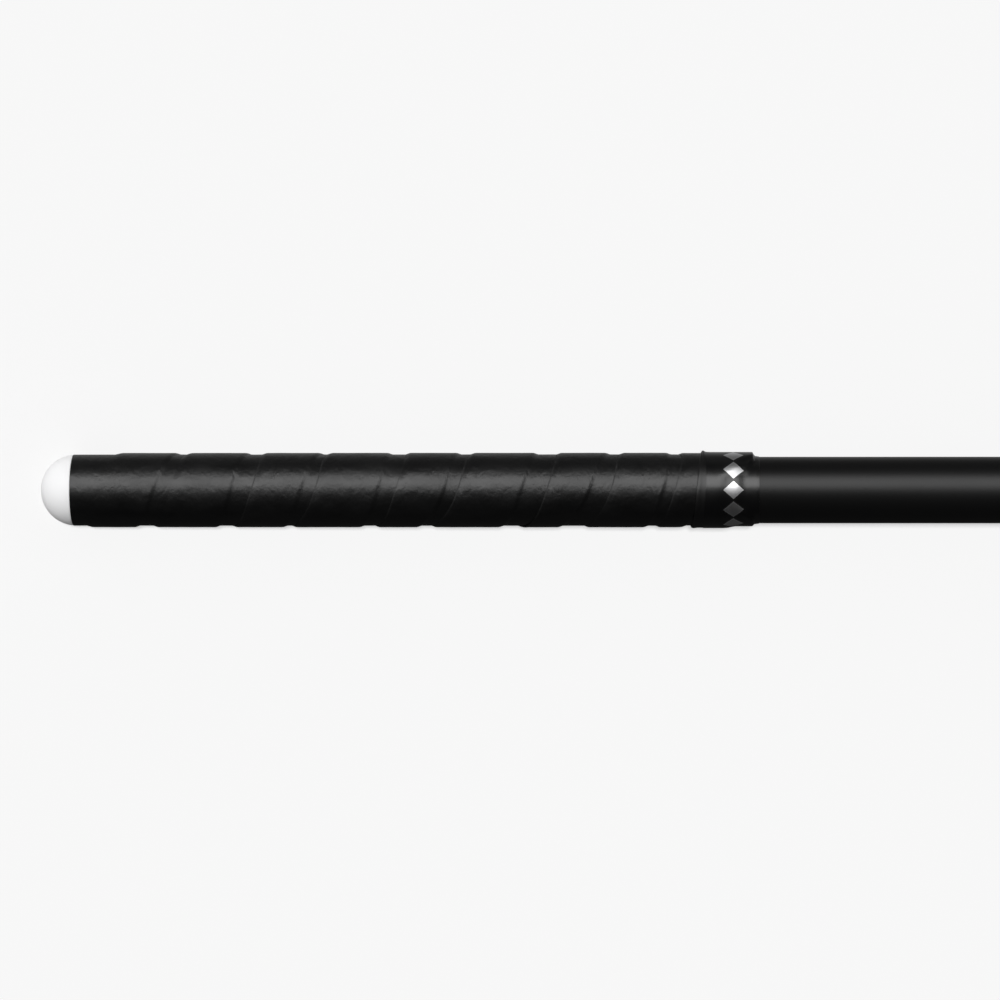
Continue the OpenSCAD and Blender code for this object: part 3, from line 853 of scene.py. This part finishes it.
class HOCKEY_OT_finishing_band(BuildPiece, bpy.types.Operator):
    """Build the finishing tape: a slanted first turn, and a straight one over it down to the bare handle"""

    bl_idname = "hockey_stick.finishing_band"
    bl_label = "Finishing tape"

    def build(self):
        k, grip = settings().band, settings().grip
        lines = StickLines()
        # The air over the grip leaves room for its dents
        single = lines.tape_r + grip.thickness + 0.03 * MM
        double = single + grip.thickness + LAYER_GAP
        bare = lines.handle_r + LAYER_GAP
        # The place of the first turn's edge at 15 degrees, what it gains in 90, and the angle it starts at
        begin, slant, start_angle = 259.85 * MM, 2.05 * MM, 25
        # The edge's ridge: its height, and the widths of its way up and down
        ridge_h, rise, fall = 0.2 * MM, 0.7 * MM, 2 * MM

        def base(u, degrees):
            """What the finishing tape lies on: the last layers of the grip, and then the bare handle."""
            drop = between(LAST_LAYER, degrees) * MM
            r = blend(double, single, (u - drop + 2 * MM) / (5 * MM))
            # The way down from the cut end is longer where the end is cut back
            end = between(TAPE_END, degrees)
            way_down = blend(6.2 * MM, 1.2 * MM, share(end, CUT_FROM, CUT_TO))
            return blend(r, bare, (u - end * MM) / way_down)

        def first_edge(degrees):
            """The first turn starts on the floor side and slants up to meet the turn over it."""
            if degrees < start_angle:
                return begin + (k.start - begin) * smooth((start_angle - degrees) / 6) * 0.98
            return begin + slant * (degrees - 15) / 90

        def fold(u, degrees):
            """The first turn's edge is drawn up, most where a small fold of it stands."""
            past = u - first_edge(degrees)
            ridge = ridge_h * smooth(past / rise) * (1 - smooth((past - rise) / fall))
            return ridge + 0.62 * MM * bump(degrees, 266, 42) * bump(past, 0.5 * MM, 0.8 * MM)

        def ring(degrees):
            top = k.start + 1.3 * MM * bump(degrees, 200, 80)
            edge = min(first_edge(degrees), top - 0.3 * MM)
            a = radians(degrees)
            wave = 0.03 * MM * noise.noise(Vector((sin(a) * 3, cos(a) * 3, 4)))
            # Each point is a place along the handle and the turns of film there
            us = [(edge + (top - edge) * t, 1) for t in FIRST_TURN] + [(top, 1), (top + 0.06 * MM, 2)]
            us += [(top + (k.end - top) * t, 2 - smooth((t - 0.94) / 0.055)) for t in OUTER_TURN]
            us += [(k.end, 0.3)]
            outside = [(u, base(u, degrees) + fold(u, degrees) + wave * (u > top) + k.thickness * n)
                       for u, n in us]
            outside[0] = (edge, base(edge, degrees) + k.thickness * 0.6)
            inside = [(u, base(u, degrees)) for u in spaced(k.end, edge, 20)]
            return [lines.lay @ Vector((u, -r * sin(a), -r * cos(a))) for u, r in outside + inside]

        mesh = bmesh.new()
        rows = skin(mesh, [ring(d) for d in spaced(0, 360, 240)[:-1]])
        join(mesh, rows[-1], rows[0])
        uv = mesh.loops.layers.uv.new("UVMap")
        back = lines.lay.inverted()
        for face in mesh.faces:
            spots = [back @ loop.vert.co for loop in face.loops]
            turns = [(atan2(-p.y, -p.z) / tau) % 1 for p in spots]
            wraps = max(turns) - min(turns) > 0.5
            for loop, p, t in zip(face.loops, spots, turns):
                loop[uv].uv = (p.x, t + (1 if wraps and t < 0.5 else 0))
        piece = piece_from(mesh, "finishing_band", band_finish(), 30)
        outer_turn = piece.data.attributes.new("outer_turn", "FLOAT", "POINT")
        for i, value in enumerate(outer_turn.data):
            value.value = float(i % len(rows[0]) >= len(FIRST_TURN))
        settle(piece, "band", "finishing_tape")


class HOCKEY_OT_inner_parts(BuildPiece, bpy.types.Operator):
    """Finish the parts inside the stick: twin tubes, foam core, face ply, damper plug and adhesive layer"""

    bl_idname = "hockey_stick.inner_parts"
    bl_label = "Inner parts"

    def build(self):
        glass = weave_finish("glass_laminate", (0.035, 0.036, 0.04), (0.06, 0.062, 0.066), 0.4, 0.0022)
        aramid = weave_finish("aramid_ply", (0.5, 0.36, 0.06), (0.38, 0.27, 0.05), 0.5, 0.0026)
        finishes = {
            "inner_tube_heel": ("inner_tube", glass),
            "inner_tube_toe": ("inner_tube", glass),
            "head_core": ("foam", foam_finish()),
            "face_ply": ("ply", aramid),
            "handle_damper": ("damper", rubber_finish("damper_rubber", (0.14, 0.14, 0.15), 0.7)),
            "grip_adhesive": ("adhesive", rubber_finish("tape_adhesive", (0.5, 0.47, 0.4), 0.6)),
        }
        for node, (slot, material) in finishes.items():
            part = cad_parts[node]
            part.data.materials.clear()
            part.data.materials.append(material)


# ---- Studio ----


class HOCKEY_OT_studio(BuildPiece, bpy.types.Operator):
    """Set up the pale floor, the soft lamps and the camera straight over the handle"""

    bl_idname = "hockey_stick.studio"
    bl_label = "Studio"

    def lamp(self, name, kind, target, back, power, lit, **choices):
        """A lamp back from its target that lights only some objects. Its first size runs along X."""
        data = bpy.data.lights.new(name, kind)
        data.energy = power
        for key, value in choices.items():
            setattr(data, key, value)
        lamp = add(name, data)
        z = back.normalized()
        x = (Vector((1, 0, 0)) - z * z.x).normalized()
        turned = Matrix((x, z.cross(x), z)).transposed().to_4x4()
        lamp.matrix_world = Matrix.Translation(target + back) @ turned
        lamp.visible_camera = False
        lit_by = lamp.light_linking.receiver_collection = bpy.data.collections.new("lit_by_" + name)
        for piece in lit:
            lit_by.objects.link(piece)

    def floor(self, paper, end_x, axis_y):
        """White paper for the camera, and a card of other tones for light and reflections."""
        f = Finish("paper_floor")
        f.tree.nodes.remove(f.shader)
        rays = f.node("ShaderNodeLightPath").outputs
        x, y, _ = f.split(f.place)
        beside = y - axis_y

        def matt(colour_of):
            return f.node("ShaderNodeBsdfDiffuse", {"Color": colour_of})

        def away(a, b):
            return f.math("SQRT", a * a + b * b)

        # The white cap throws light on the paper round the butt end, so the paper itself is darker there
        clear = f.ramp(away(x - end_x, beside - 0.005), 0.008, 0.045, smooth=True)
        lit = matt(f.tones(clear, paper, 0.955, 1))
        # Seen by the camera it glows for the most part, and wholly far out, so that shadows are faint
        glow = f.node("ShaderNodeEmission", {"Color": paper})
        shown = f.mixed(f.high(f.ramp(away(x, y), 0.8, 1.8, smooth=True), 0.62), lit, glow)
        # Off camera the floor is a card that is pale only close to the stick on the toe side
        bounce = f.ramp(beside, -0.02, 0.012, 0.03, 0.42, smooth=True)
        bounce = bounce * f.ramp(beside, 0.024, 0.07, 1, 0.2, smooth=True)
        fill = f.ramp(beside, -0.03, 0, 0.1, 0.95, smooth=True)
        off = f.mixed(rays["Is Glossy Ray"], matt(fill), matt(bounce))
        f.put(f.mixed(rays["Is Camera Ray"], off, shown), f.out.inputs[0])
        mesh = bmesh.new()
        bmesh.ops.create_grid(mesh, x_segments=2, y_segments=2, size=12)
        floor = piece_from(mesh, "floor", f.material)
        floor.location.z = -0.2 * MM
        floor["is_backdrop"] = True
        return floor

    def build(self):
        k = settings().studio
        scene = bpy.context.scene
        scene.view_settings.view_transform = "Standard"
        lines = StickLines()

        def on_axis(u):
            return lines.lay @ Vector((u, 0, 0))

        def up(lean):
            """Upwards, but leaning to the toe side by some degrees."""
            return Vector((0, sin(radians(lean)), cos(radians(lean))))

        middle = on_axis(k.looks_at)
        floor = self.floor(tuple(k.paper), on_axis(-9 * MM).x, middle.y)
        aim = Vector((0, middle.y, middle.z))
        cap, body = bpy.data.objects["end_cap"], bpy.data.objects["stick_body"]
        # The key's middle is past the butt end, and each fill lights one piece. The powers are in watts
        self.lamp("key", "AREA", aim + Vector((-1.55, 0, 0)), 3 * up(26), 97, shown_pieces(),
                  shape="RECTANGLE", size=5.2, size_y=2.08)
        self.lamp("end_fill", "AREA", on_axis(0), Vector((-0.62, -0.10, 0.80)), 7.2, [cap],
                  shape="RECTANGLE", size=2.4, size_y=1)
        self.lamp("head_fill", "AREA", on_axis(lines.hook_start), Vector((1.3, -0.45, 0.45)), 9, [body],
                  shape="RECTANGLE", size=1, size_y=0.7)
        # A sun of pi watts on a square metre would show the paper in just its own colour
        self.lamp("overhead", "SUN", aim, up(2.5), pi * 0.94, [floor], angle=radians(5))
        world = scene.world = bpy.data.worlds.new("studio")
        world.use_nodes = True
        world.node_tree.nodes.clear()
        w = Graph(world.node_tree)
        rays = w.node("ShaderNodeLightPath").outputs

        def room(colour_of, strength):
            return w.node("ShaderNodeBackground", {"Color": colour_of, "Strength": strength})

        # The room is dim, and dimmer in reflections, but the camera sees paper
        dim = w.mixed(rays["Is Glossy Ray"], room((1, 1, 1), 0.1), room((1, 1, 1), 0.014))
        w.node("ShaderNodeOutputWorld", {0: w.mixed(rays["Is Camera Ray"], dim, room(k.paper, 1))})
        data = bpy.data.cameras.new("camera")
        data.lens = data.sensor_width * k.distance / k.field
        data.clip_end = 20
        scene.camera = add("camera", data)
        scene.camera.location = (middle.x, middle.y - k.offset, middle.z + k.distance)


class HOCKEY_PT_panel(bpy.types.Panel):
    """The sizes, colours and building steps of the stick"""

    bl_idname = "HOCKEY_PT_panel"
    bl_label = "Field hockey stick"
    bl_space_type = "VIEW_3D"
    bl_region_type = "UI"
    bl_category = "Hockey stick"

    def draw(self, context):
        for step in STEPS:
            self.layout.operator(step.bl_idname)
        for name in HockeySettings.__annotations__:
            group = getattr(context.scene.hockey_stick, name)
            box = self.layout.box()
            box.label(text=HockeySettings.bl_rna.properties[name].name)
            for key in type(group).__annotations__:
                box.prop(group, key)


STEPS = (HOCKEY_OT_stick_body, HOCKEY_OT_end_cap, HOCKEY_OT_grip_winding, HOCKEY_OT_finishing_band,
         HOCKEY_OT_inner_parts, HOCKEY_OT_studio)
CLASSES = (StickSettings, CapSettings, GripSettings, BandSettings, StudioSettings, HockeySettings, *STEPS,
           HOCKEY_PT_panel)


def register():
    for cls in CLASSES:
        bpy.utils.register_class(cls)
    bpy.types.Scene.hockey_stick = PointerProperty(type=HockeySettings, name="Hockey stick",
                                                   description="Sizes and colours of the stick")


def unregister():
    del bpy.types.Scene.hockey_stick
    for cls in reversed(CLASSES):
        bpy.utils.unregister_class(cls)


def main():
    register()
    for step in STEPS:
        group, name = step.bl_idname.split(".")
        getattr(getattr(bpy.ops, group), name)()


if __name__ == "__main__":
    main()
